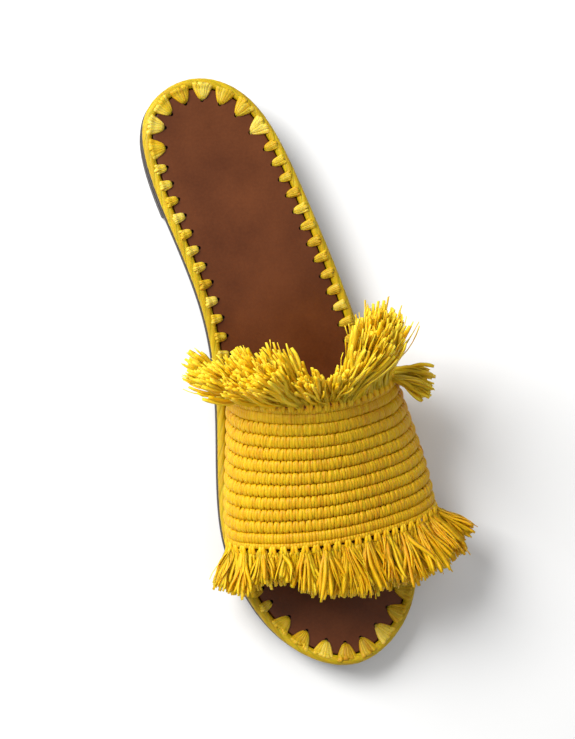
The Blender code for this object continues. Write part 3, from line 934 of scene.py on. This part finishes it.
@dataclass
class Rand:
    """The raffia cord round the edge and the whip stitches that hold it to the insole."""

    last: Last
    band: Band
    reach_side: float = 0.0036
    reach_ends: float = 0.0052
    share_side: float = 0.72
    share_ends: float = 1.00
    pitch_side: float = 0.0072
    pitch_ends: float = 0.0112
    ends_length: float = 0.030
    plies: int = 4
    ply_share: float = 0.60
    ply_flatness: float = 1.25
    ply_sides: int = 8
    ply_tones: tuple[float, float] = (0.35, 0.60)
    twist: float = 0.034
    cord_station: float = 0.0008
    form: StitchForm = StitchForm()
    seed: int = 11

    def line(self) -> tuple[np.ndarray, np.ndarray, np.ndarray]:
        """Return the outline, its inward normals and the distances along it, closed."""
        line = self.last.outline()
        normals = inward(line)
        line = np.vstack([line, line[:1]])
        return line, np.vstack([normals, normals[:1]]), lengths_along(line)

    def at_end(self, y: np.ndarray) -> np.ndarray:
        """Return whether y lies in the turn round the heel or the toe."""
        along = self.last.heel_centre - y
        return (along < self.ends_length) | (along > self.last.length - self.ends_length)

    def stitches(self) -> list[Stitch]:
        """Lay out the whip stitches round the edge, without those under the band's feet."""
        line, normals, lengths = self.line()
        mid = (line[1:] + line[:-1]) / 2
        pitches = np.where(self.at_end(mid[:, 1]), self.pitch_ends, self.pitch_side)
        turns = np.concatenate([[0.0], np.cumsum(np.diff(lengths) / pitches)])
        count = round(turns[-1])
        centres = np.interp((np.arange(count) + 0.5) * turns[-1] / count, turns, lengths)
        found = []
        for centre in centres:
            place = np.array([np.interp(centre, lengths, line[:, axis]) for axis in (0, 1)])
            inwards = np.array([np.interp(centre, lengths, normals[:, axis]) for axis in (0, 1)])
            lag = self.band.outer_lag if place[0] > 0 else 0.0
            along = self.last.heel_centre - place[1] - lag - self.band.back
            if -self.pitch_side / 2 < along < self.band.length + self.pitch_side / 2:
                continue
            if self.at_end(place[1]):
                width, reach = self.share_ends * self.pitch_ends, self.reach_ends
            else:
                width, reach = self.share_side * self.pitch_side, self.reach_side
            found.append(Stitch(place, inwards, width, reach))
        return found

    def build(self, cord: Raffia, thread: Raffia) -> None:
        """Build the cord and the whip stitches."""
        made = self.cord().make("edge_cord", cord.material(), "raffia_cord")
        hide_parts("rand")
        made = self.whip_stitches().make("whip_stitches", thread.material(), "raffia_cord")
        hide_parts("rand")

    def cord(self) -> Draft:
        """Twist the cord's plies round its line."""
        draft = Draft()
        radius = self.last.cord / 2
        line = self.last.outline(radius)
        line = np.vstack([line, line[:1]])
        total = lengths_along(line)[-1]
        stations = round(total / self.cord_station)
        at = np.arange(stations) * total / stations
        centre = at_lengths(line, at)
        side = inward(centre)
        height = self.last.outsole_top(centre[:, 1]) + self.last.gap + radius
        centre = np.column_stack([centre, height])
        side = np.column_stack([side, np.zeros(stations)])
        up = np.tile(UP, (stations, 1))
        turns = round(total / self.twist)
        ply = self.ply_share * radius
        centres, across, through = [], [], []
        for number in range(self.plies):
            angle = 2 * math.pi * (turns * at / total + number / self.plies)
            out = np.cos(angle)[:, None] * side + np.sin(angle)[:, None] * up
            turned = -np.sin(angle)[:, None] * side + np.cos(angle)[:, None] * up
            centres.append(centre + out * (radius - ply))
            across.append(turned)
            through.append(out)
        shape = (self.plies, stations)
        draft.tubes(
            np.array(centres),
            np.array(across),
            np.array(through),
            np.full(shape, ply * self.ply_flatness),
            np.full(shape, ply),
            ellipse(self.ply_sides),
            np.linspace(*self.ply_tones, self.plies),
            closed=True,
        )
        return draft

    def whip_stitches(self) -> Draft:
        """Fan each whip stitch's strips from its hole to the cord."""
        draft = Draft()
        rng = np.random.default_rng(self.seed)
        form, cord = self.form, self.last.cord
        t = np.linspace(0, 1, form.stations)
        layer = self.last.outsole + self.last.gap
        on_cord, on_insole = layer + cord, layer + self.last.insole
        centres, across, wide, tones = [], [], [], []
        for stitch in self.stitches():
            tangent = np.array([stitch.inwards[1], -stitch.inwards[0]])
            own = rng.uniform(*form.tones)
            way = cord + stitch.reach - form.start
            half = form.half_width(t, stitch.width)
            for strip in range(form.strips):
                fan = (strip + 0.5) / form.strips * 2 - 1 + rng.normal(0, form.fan_spread)
                inset = form.start + way * t + form.start_spread * rng.normal() * (1 - t)
                plan = stitch.place + stitch.inwards * inset[:, None]
                plan = plan + tangent * (fan * half * form.fan_share)[:, None]
                fall = np.clip((inset - cord / 2) / (cord * form.fall_share), 0, 1) ** form.fall_power
                crest = on_cord + (on_insole - on_cord) * fall
                z = self.last.bottom(plan[:, 1]) + crest + form.rise(t, fan)
                centres.append(np.column_stack([plan, z]))
                across.append(np.tile([*tangent, -form.strip_tilt * fan], (len(t), 1)))
                wide.append(half / form.strips * form.strip_overlap)
                tones.append(np.clip(own + rng.normal(0, form.tone_spread), 0, 1))
        shape = (len(centres), form.stations)
        draft.tubes(
            np.array(centres),
            unit(np.array(across)),
            np.broadcast_to(UP, (*shape, 3)),
            np.array(wide),
            np.full(shape, form.strip_thick),
            ellipse(form.sides),
            np.array(tones),
        )
        return draft


@dataclass
class Insole:
    """The brown leather insole, with a punched hole at the foot of each whip stitch."""

    sole: Sole
    rand: Rand
    edge: float = 0.0007
    hole: float = 0.0009
    hole_taper: float = 0.8
    hole_depth: float = 0.0016
    hole_sides: int = 10
    smooth_angle: float = 45.0

    def build(self, finish: Leather, painted_shade: Leather) -> None:
        """Build the insole and punch its holes."""
        last = self.sole.last
        lift = last.outsole + last.gap
        piece = sole_sheet(self.sole, "insole_leather", last.cord + last.gap, last.insole, self.edge, lift)
        finish_piece(piece, finish.material())
        # The second material is painted shade for the walls of the holes.
        piece.data.materials.append(painted_shade.material())
        self.punch(piece)
        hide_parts("insole")

    def punch(self, piece: bpy.types.Object) -> None:
        """Cut the holes with one joined cutter."""
        last = self.sole.last
        shape = bmesh.new()
        for stitch in self.rand.stitches():
            x, y = stitch.place + stitch.inwards * (last.cord + stitch.reach)
            top = float(last.insole_top(y))
            made = bmesh.ops.create_cone(
                shape,
                cap_ends=True,
                segments=self.hole_sides,
                radius1=self.hole * self.hole_taper,
                radius2=self.hole,
                depth=2 * self.hole_depth,
            )
            bmesh.ops.translate(shape, verts=made["verts"], vec=(x, y, top))
        mesh = bpy.data.meshes.new("punch")
        shape.to_mesh(mesh)
        shape.free()
        mesh.materials.append(piece.data.materials[0])
        mesh.materials.append(piece.data.materials[1])
        # The cutter's faces become the holes' walls and take the second material: painted shade inside the
        # holes.
        for face in mesh.polygons:
            face.material_index = 1
        cutter = bpy.data.objects.new("punch", mesh)
        bpy.context.scene.collection.objects.link(cutter)
        cut = piece.modifiers.new("holes", "BOOLEAN")
        cut.object = cutter
        cut.operation = "DIFFERENCE"
        apply_modifiers(piece)
        bpy.data.objects.remove(cutter)
        select_only(piece)
        bpy.ops.object.shade_smooth_by_angle(angle=math.radians(self.smooth_angle))


@dataclass
class Crochet:
    """The crocheted band: a ribbed wall, and the stitches that wrap each rib."""

    band: Band
    leg_pitch: float = 0.00135
    leg_slant: float = 0.22
    rise: float = 0.0017
    half_height: float = 0.0006
    edge_row: float = 0.0019
    edge_rise: float = 0.0008
    core_depth: float = 0.0012
    core_groove: float = 0.0009
    core_wall: float = 0.0011
    wall_columns: int = 110
    rows_a_rib: int = 8
    fibre_length: float = 57.0
    leg_stations: int = 8
    leg_sides: int = 8
    leg_share: float = 0.485
    border_share: float = 0.97
    leg_width: float = 0.74
    arch: float = 0.92
    end_narrowing: float = 0.2
    end_thinning: float = 0.3
    place_spread: float = 0.05
    length_spread: float = 0.00007
    size_spread: float = 0.05
    height_spread: float = 0.00006
    tone: float = 0.58
    tone_spread: float = 0.10
    seed: int = 5

    def build(self, finish: Raffia) -> None:
        """Build the wall and the stitches."""
        wall = self.wall()
        finish_piece(wall, finish.material())
        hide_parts("upper")
        stitches = self.stitches().make("band_stitches", wall.data.materials[0], "raffia_crochet")
        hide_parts("upper")

    def groove(self, down: np.ndarray) -> np.ndarray:
        """Return 0 on a rib's crown and 1 in a groove, at distances from the throat."""
        band = self.band
        phase = (down - band.border) / band.rib_pitch
        wave = (1 + np.cos(2 * math.pi * phase)) / 2
        inside = (down > band.border - band.rib_pitch / 2) & (
            down < band.length - band.border + band.rib_pitch / 2
        )
        return np.where(inside, wave**2, 0.0)

    def wall(self) -> bpy.types.Object:
        """Build the wall under the stitches: a grid bent over the foot, and given its thickness."""
        rows = self.rows_a_rib * (self.band.ribs + 2)
        columns = self.wall_columns
        deselect()
        bpy.ops.mesh.primitive_grid_add(x_subdivisions=columns, y_subdivisions=rows, size=1.0)
        wall = bpy.context.object
        wall.name = wall.data.name = "band_wall"
        flat = np.array([vertex.co for vertex in wall.data.vertices])
        down = (0.5 - flat[:, 1]) * self.band.length
        across = (flat[:, 0] + 0.5) * self.band.width
        depth = -self.core_depth - self.core_groove * self.groove(down)
        for vertex, point in zip(wall.data.vertices, self.band.lay(down, across, depth)):
            vertex.co = point
        shell = wall.modifiers.new("wall", "SOLIDIFY")
        shell.thickness = self.core_wall
        shell.offset = -1
        apply_modifiers(wall)
        self.mark(wall)
        settle(wall)
        return wall

    def mark(self, wall: bpy.types.Object) -> None:
        """Give the wall the strand coordinates of the stitches, and a tone of nought: the deepest dye, as
        painted shade in the grooves between the stitches.
        """
        mesh = wall.data
        layer = mesh.uv_layers.get("UVMap") or mesh.uv_layers[0]
        layer.name = "strand"
        count = len(mesh.loops)
        flat = np.empty(count * 2, np.float32)
        layer.data.foreach_get("uv", flat)
        flat = flat.reshape(-1, 2)
        turned = flat * (self.band.width / self.leg_pitch / 2, self.fibre_length)
        layer.data.foreach_set("uv", turned.astype(np.float32).ravel())
        # Tone nought is the deepest dye: painted shade where the wall shows in the grooves.
        tone = mesh.attributes.new("tone", "FLOAT", "POINT")
        tone.data.foreach_set("value", np.zeros(len(mesh.vertices), np.float32))

    def stitches(self) -> Draft:
        """Lay the slanted legs of the stitches over each rib and the upright ones over both borders."""
        band = self.band
        draft = Draft()
        rng = np.random.default_rng(self.seed)
        for rib in range(band.ribs):
            middle = band.border + (rib + 0.5) * band.rib_pitch
            self.row(draft, rng, middle, band.rib_pitch * self.leg_share, self.leg_slant, self.rise)
        wide = (band.border - self.edge_row) / 2
        narrow = self.edge_row / 2
        for place, half, rise in (
            (narrow, narrow, self.edge_rise),
            (self.edge_row + wide, wide * self.border_share, self.rise),
        ):
            self.row(draft, rng, place, half, 0.0, rise)
            self.row(draft, rng, band.length - place, half, 0.0, rise)
        return draft

    def row(
        self,
        draft: Draft,
        rng: np.random.Generator,
        middle: float,
        half: float,
        slant: float,
        rise: float,
    ) -> None:
        """Lay one row of stitch legs across the foot, leaning to each other in pairs.

        Args:
            draft: The mesh that they join.
            rng: Where their unevenness comes from.
            middle: The row's distance from the throat.
            half: Half the length of a leg along the foot.
            slant: How far a leg leans to the side over its length.
            rise: How far a leg's middle stands over its ends.
        """
        band = self.band
        pitch = self.leg_pitch
        count = int((band.width - pitch) / pitch)
        margin = (band.width - count * pitch) / 2
        number = np.arange(count)[:, None]
        one_each = (count, 1)
        t = np.linspace(-1, 1, self.leg_stations)[None, :]
        start = margin + (number + 0.5) * pitch + rng.normal(0, pitch * self.place_spread, one_each)
        down = middle + half * t + rng.normal(0, self.length_spread, one_each)
        across = start + np.where(number % 2, -slant, slant) * half * t
        across = np.clip(across, pitch / 2, band.width - pitch / 2)
        size = 1 + rng.normal(0, self.size_spread, one_each)
        height = rise * (np.sqrt(1 - self.arch * t**2) - 1) - self.half_height
        centres = band.lay(down, across, height + self.height_spread * rng.normal(size=one_each))
        _, normal = band.frame(down, across)
        tangent = unit(np.gradient(centres, axis=1))
        side = unit(np.cross(normal, tangent))
        wide = pitch * self.leg_width * (1 - self.end_narrowing * t**6) * size
        thick = self.half_height * (1 - self.end_thinning * t**6) * size
        tones = np.clip(rng.normal(self.tone, self.tone_spread, count), 0, 1)
        section = ellipse(self.leg_sides)
        draft.tubes(centres, side, unit(np.cross(tangent, side)), wide, thick, section, tones)


@dataclass(frozen=True)
class Knot:
    """One of the two short loops that tie a lock to the band's edge."""

    stations: int = 7
    sides: int = 8
    half_width: float = 0.00080
    half_thickness: float = 0.00080
    apart: float = 0.00070
    opening: float = 0.25
    middle: float = 0.0009
    reach: float = 0.0019
    depth: float = 0.0012
    rise: float = 0.0009
    roundness: float = 0.9
    tones: tuple[float, float] = (0.35, 0.75)


@dataclass(frozen=True)
class Strand:
    """The loose strands: how many a lock has, how they part and wander, and their ribbon section."""

    count: int = 50
    stations: int = 10
    half_widths: tuple[float, float] = (0.00050, 0.00115)
    flatness: float = 0.38
    half_thickness: float = 0.00022
    taper: float = 0.30
    taper_from: float = 0.8
    root: float = 0.0022
    root_shares: tuple[float, float] = (0.45, 1.10)
    root_spread: float = 0.0003
    root_depth: float = 0.0011
    root_half_depth: float = 0.0006
    root_reach: float = 1.6
    root_width: float = 1.1
    farthest: float = 2.0
    part_sideways: float = 0.13
    part_upwards: float = 0.12
    part_at_start: float = 0.5
    part_at_tip: float = 1.6
    length: float = 0.98
    length_spread: float = 0.07
    length_range: tuple[float, float] = (0.65, 1.10)
    wander: float = 0.16
    wave: float = 0.11
    roll: float = 0.7
    roll_along: float = 1.4
    roll_start: float = -0.4
    tone: float = 0.60
    tone_spread: float = 0.17
    pale_tip: float = 0.20


@dataclass(frozen=True)
class LooseStrand:
    """The few long pale strands that stray across a gap in a fringe."""

    swing: float = 10.0
    stray: float = 0.5
    stray_at_tip: float = 1.5
    depth: float = 0.0008
    lengths: tuple[float, float] = (0.6, 0.9)
    tone: float = 0.95


@dataclass
class Fringe:
    """A fringe: knots along a band edge, and the loose strands that hang from each."""

    band: Band
    name: str
    node: str
    table: tuple[FringePlace, ...]
    length: float
    edge: float
    heading: int
    seed: int
    # How far the strands' tone falls from the inner to the outer end of the edge: painted shade where this
    # is above nought, painted light where it is below.
    shade: float = 0.0
    loose: tuple[float, ...] = ()
    lock_width: float = 0.0046
    alternation: float = 11.0
    long_wave: float = 0.03
    long_wave_turn: float = 2.4
    short_step: float = 0.06
    knot: Knot = Knot()
    strand: Strand = Strand()
    stray: LooseStrand = LooseStrand()

    def column(self, places: np.ndarray, name: str) -> np.ndarray:
        """Return a column of the fringe's table at places along the edge."""
        known = [row.place for row in self.table]
        return np.interp(places, known, [getattr(row, name) for row in self.table])

    def build(self, finish: Raffia) -> None:
        """Build the fringe for its solid."""
        draft = Draft()
        rng = np.random.default_rng(self.seed)
        first, last = self.table[0].place, self.table[-1].place
        count = round((last - first) * self.band.width / self.lock_width)
        places = first + (last - first) * (np.arange(count) + 0.5) / count
        self.knots(draft, rng, places)
        self.locks(draft, rng, places)
        self.loose_strands(draft, rng)
        made = draft.make(self.name, finish.material(), "raffia_fringe")
        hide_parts(self.node)

    def knots(self, draft: Draft, rng: np.random.Generator, places: np.ndarray) -> None:
        """Tie each lock to the band's edge with two short loops."""
        knot = self.knot
        t = np.linspace(-1, 1, knot.stations)[None, :]
        shape = (len(places), knot.stations)
        for side in (-1, 1):
            across = places[:, None] * self.band.width + side * knot.apart * (1 + knot.opening * t)
            down = np.broadcast_to(self.edge + self.heading * (knot.middle + knot.reach * t), shape)
            arch = np.sqrt(np.clip(1 - knot.roundness * t**2, 0, 1))
            height = np.broadcast_to(knot.rise * arch - knot.depth, shape)
            centres = self.band.lay(down, across, height)
            _, normal = self.band.frame(down, across)
            tangent = unit(np.gradient(centres, axis=1))
            flank = unit(np.cross(normal, tangent))
            wide = np.full(shape, knot.half_width)
            thick = np.full(shape, knot.half_thickness)
            tones = rng.uniform(*knot.tones, len(places))
            section = ellipse(knot.sides)
            draft.tubes(centres, flank, unit(np.cross(tangent, flank)), wide, thick, section, tones)

    def headings(
        self, places: np.ndarray, swing: np.ndarray
    ) -> tuple[np.ndarray, np.ndarray, np.ndarray, np.ndarray]:
        """Work out how the locks at these places stand.

        Args:
            places: Shares of the edge from the inner foot.
            swing: Degrees that are added to the splay of each.

        Returns:
            The directions of their starts and tips, the way to the outer side, and the band's normals.
        """
        down = np.full(len(places), self.edge + self.heading * self.strand.root)
        forward, normal = self.band.frame(down, places * self.band.width)
        away = forward * self.heading
        sideways = np.cross(away, normal)
        sideways = sideways * np.where(sideways[:, :1] < 0, -1, 1)
        lean = np.radians(self.column(places, "lean"))[:, None]

        def lifted(degrees: np.ndarray) -> np.ndarray:
            """Return the directions that stand so many degrees off the band, leaned as the table says."""
            lift = np.radians(degrees)[:, None]
            up = away * np.cos(lift) + normal * np.sin(lift)
            return up * np.cos(lean) + sideways * np.sin(lean)

        splay = self.column(places, "splay") + swing
        droop = np.sin(np.radians(self.column(places, "droop")))[:, None]
        tip = lifted(splay + self.column(places, "curl")) - droop * np.array(UP)
        return lifted(splay), unit(tip), sideways, normal

    def locks(self, draft: Draft, rng: np.random.Generator, places: np.ndarray) -> None:
        """Let the strands of each lock leave its knot, bend and part."""
        strand = self.strand
        number = np.arange(len(places))
        bush = self.column(places, "bush")[:, None]
        swing = self.alternation * bush[:, 0] * np.where(number % 2, 1, -1)
        start, tip, sideways, normal = self.headings(places, swing)
        uneven = 1 + self.long_wave * np.sin(self.long_wave_turn * number) - self.short_step * (number % 3)
        own = self.length * self.column(places, "reach") * uneven
        shape = (len(places), strand.count)
        apart = np.clip(rng.normal(0, 1, (*shape, 2)), -strand.farthest, strand.farthest)
        near = np.clip(apart, -strand.root_reach, strand.root_reach)
        root = strand.root * rng.uniform(*strand.root_shares, (len(places), 1))
        base = self.band.lay(
            self.edge + self.heading * root + rng.normal(0, strand.root_spread, shape),
            places[:, None] * self.band.width + near[..., 0] * self.knot.half_width * strand.root_width,
            near[..., 1] * strand.root_half_depth - strand.root_depth,
        )
        part = sideways[:, None] * (strand.part_sideways * bush * apart[..., 0])[..., None]
        part = part + normal[:, None] * (strand.part_upwards * bush * apart[..., 1])[..., None]
        size = np.clip(rng.normal(strand.length, strand.length_spread, shape), *strand.length_range)
        # The tone falls along the edge by the shade share: painted shade towards the outer end, or painted
        # light where the share is below nought.
        tones = rng.normal(strand.tone, strand.tone_spread, shape) - self.shade * places[:, None]
        self.ribbons(
            draft,
            rng,
            base.reshape(-1, 3),
            (start[:, None] + strand.part_at_start * part).reshape(-1, 3),
            (tip[:, None] + strand.part_at_tip * part).reshape(-1, 3),
            np.repeat(normal, strand.count, axis=0),
            (own[:, None] * size).ravel(),
            np.clip(tones, 0, 1).ravel(),
        )

    def loose_strands(self, draft: Draft, rng: np.random.Generator) -> None:
        """Let a few long pale strands stray across a gap in the fringe."""
        if not self.loose:
            return
        form = self.stray
        places = np.array(self.loose)
        count = len(places)
        start, tip, sideways, normal = self.headings(places, np.full(count, form.swing))
        stray = sideways * rng.uniform(-form.stray, form.stray, (count, 1))
        base = self.band.lay(
            np.full(count, self.edge + self.heading * self.strand.root),
            places * self.band.width,
            np.full(count, -form.depth),
        )
        size = self.length * rng.uniform(*form.lengths, count)
        tip = tip + form.stray_at_tip * stray
        self.ribbons(draft, rng, base, start + stray, tip, normal, size, np.full(count, form.tone))

    def ribbons(
        self,
        draft: Draft,
        rng: np.random.Generator,
        base: np.ndarray,
        start: np.ndarray,
        tip: np.ndarray,
        normal: np.ndarray,
        size: np.ndarray,
        tones: np.ndarray,
    ) -> None:
        """Draw flat strands that wander from their start to their tip direction.

        Args:
            draft: The mesh that they join.
            rng: Where their unevenness comes from.
            base: Where each strand starts.
            start: The direction in which each leaves.
            tip: The direction in which each ends.
            normal: The side that each turns its flat to, more or less.
            size: The length of each.
            tones: The tone of each.
        """
        strand = self.strand
        count = len(base)
        t = np.linspace(0, 1, strand.stations)
        along = t[None, :, None]
        wander = rng.normal(0, strand.wander, (count, 1, 3)) * np.sin(math.pi * along)
        wander = wander + rng.normal(0, strand.wave, (count, 1, 3)) * np.sin(2 * math.pi * along)
        heading = unit(start[:, None] * (1 - along) + tip[:, None] * along + wander)
        step = heading * (size / (strand.stations - 1))[:, None, None]
        centres = base[:, None] + np.cumsum(step, axis=1) - step[:, :1]
        tangent = unit(np.gradient(centres, axis=1))
        turned = rng.normal(0, strand.roll, (2, count, 1))
        roll = turned[0] + turned[1] * (strand.roll_along * t + strand.roll_start)
        side = unit(np.cross(tangent, normal[:, None]))
        up = unit(np.cross(side, tangent))
        flat = side * np.cos(roll)[..., None] + up * np.sin(roll)[..., None]
        through = unit(np.cross(tangent, flat))
        near_tip = np.clip((t - strand.taper_from) / (1 - strand.taper_from), 0, 1)
        wide = rng.uniform(*strand.half_widths, (count, 1)) * (1 - strand.taper * near_tip**2)
        thick = np.minimum(wide * strand.flatness, strand.half_thickness)
        pale = np.clip(tones[:, None] + strand.pale_tip * t**4, 0, 1)
        draft.tubes(centres, flat, through, wide, thick, RIBBON, pale)


class Lamp(NamedTuple):
    """A square area light: its place, its side and its power in watts."""

    name: str
    place: tuple[float, float, float]
    size: float
    power: float


@dataclass
class Studio:
    """A pale floor, soft light and the camera at the photograph's angle to the slide."""

    distance: float = 0.92
    tilt: float = 13.0
    turn: float = 13.72
    frame_height: float = 0.305
    target: tuple[float, float, float] = (0.011, -0.099, 0.015)
    sensor: float = 36.0
    nearest: float = 0.01
    floor_size: float = 40.0
    floor_gap: float = 0.0002
    floor_colour: tuple[float, float, float] = (0.86, 0.86, 0.855)
    world_light: float = 0.38
    lamps: tuple[Lamp, ...] = (
        Lamp("key", (-0.60, 0.50, 0.75), 0.60, 19.5),
        Lamp("fill", (0.3, -0.3, 1.4), 1.2, 2.5),
    )

    def build(self) -> None:
        """Set up the floor, the lights, the world and the camera."""
        self.floor()
        self.lights()
        self.camera()

    def floor(self) -> None:
        """Lay the floor just under the slide."""
        deselect()
        bpy.ops.mesh.primitive_plane_add(size=self.floor_size, location=(0.0, 0.0, -self.floor_gap))
        floor = bpy.context.object
        floor.name = "floor"
        floor.data.materials.append(Flat("pale floor", self.floor_colour).material())

    def lights(self) -> None:
        """Light from above on the inner side, with a soft fill and a pale world."""
        world = bpy.data.worlds.new("studio")
        world.use_nodes = True
        shade = world.node_tree.nodes["Background"]
        shade.inputs["Color"].default_value = (1.0, 1.0, 1.0, 1.0)
        shade.inputs["Strength"].default_value = self.world_light
        bpy.context.scene.world = world
        view = bpy.context.scene.view_settings
        view.view_transform = "Standard"
        view.look = "None"
        for lamp in self.lamps:
            light = bpy.data.lights.new(lamp.name, "AREA")
            light.size = lamp.size
            light.energy = lamp.power
            stand = bpy.data.objects.new(lamp.name, light)
            stand.location = lamp.place
            aim = Vector(self.target) - Vector(lamp.place)
            stand.rotation_mode = "QUATERNION"
            stand.rotation_quaternion = aim.to_track_quat("-Z", "Y")
            bpy.context.scene.collection.objects.link(stand)

    def camera(self) -> None:
        """Place the camera over the inner side and roll it as in the photograph."""
        tilt = math.radians(self.tilt)
        turn = math.radians(self.turn)
        up = np.array([math.sin(turn), math.cos(turn), 0.0])
        back = np.array([-math.sin(tilt), 0.0, math.cos(tilt)])
        right = unit(np.cross(up, back))
        true_up = np.cross(back, right)
        place = np.array(self.target) + back * self.distance
        data = bpy.data.cameras.new("camera")
        data.sensor_width = self.sensor
        data.lens = self.sensor * self.distance / self.frame_height
        data.clip_start = self.nearest
        camera = bpy.data.objects.new("camera", data)
        matrix = np.eye(4)
        matrix[:3] = np.column_stack([right, true_up, back, place])
        camera.matrix_world = Matrix(matrix.tolist())
        bpy.context.scene.collection.objects.link(camera)
        bpy.context.scene.camera = camera


SOLE_LEATHER = Leather("sole leather", (0.008, 0.004, 0.003), (0.020, 0.010, 0.007), 0.50, 0.05, 900.0)
HEEL_LEATHER = Leather("heel stack", (0.012, 0.006, 0.004), (0.028, 0.014, 0.010), 0.46, 0.08, 700.0)
INSOLE_LEATHER = Leather("insole leather", (0.072, 0.016, 0.002), (0.125, 0.033, 0.007), 0.48, 0.04)
# Near-black leather on the walls of the punched holes: painted shade inside the holes.
HOLE_PAINTED_SHADE = Leather("hole burn", (0.012, 0.004, 0.004), (0.030, 0.010, 0.010), 0.7, 0.0)
CORD_RAFFIA = Raffia("cord raffia", Dye.CORD)
STITCH_RAFFIA = Raffia("stitch raffia", Dye.STITCH)
BAND_RAFFIA = Raffia("band raffia", Dye.BAND)
THROAT_RAFFIA = Raffia("throat raffia", Dye.FRINGE)
TOE_RAFFIA = Raffia("toe raffia", Dye.FRINGE)


def main() -> None:
    """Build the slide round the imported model."""
    logging.basicConfig(level=logging.INFO, format="%(message)s")
    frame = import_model()
    LOG.info("frame: %s", ", ".join(sorted(frame["nodes"])))
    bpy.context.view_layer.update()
    last = Last()
    band = Band(last)
    sole = Sole(last)
    rand = Rand(last, band)
    throat = Fringe(
        band=band,
        name="throat_strands",
        node="throat_fringe",
        table=THROAT_FRINGE,
        length=0.028,
        edge=0.0,
        heading=-1,
        seed=21,
        # Painted light: the throat's strands paler towards the outer end.
        shade=-0.12,
        loose=(0.435, 0.45, 0.46, 0.475, 0.485, 0.50, 0.51),
    )
    toe = Fringe(
        band=band,
        name="toe_strands",
        node="toe_fringe",
        table=TOE_FRINGE,
        length=0.0225,
        edge=band.length,
        heading=1,
        seed=22,
        # Painted shade: the toe's strands darker towards the outer end.
        shade=0.62,
    )
    sole.build(SOLE_LEATHER, HEEL_LEATHER)
    rand.build(CORD_RAFFIA, STITCH_RAFFIA)
    Insole(sole, rand).build(INSOLE_LEATHER, HOLE_PAINTED_SHADE)
    Crochet(band).build(BAND_RAFFIA)
    throat.build(THROAT_RAFFIA)
    toe.build(TOE_RAFFIA)
    Studio().build()


if __name__ == "__main__":
    main()
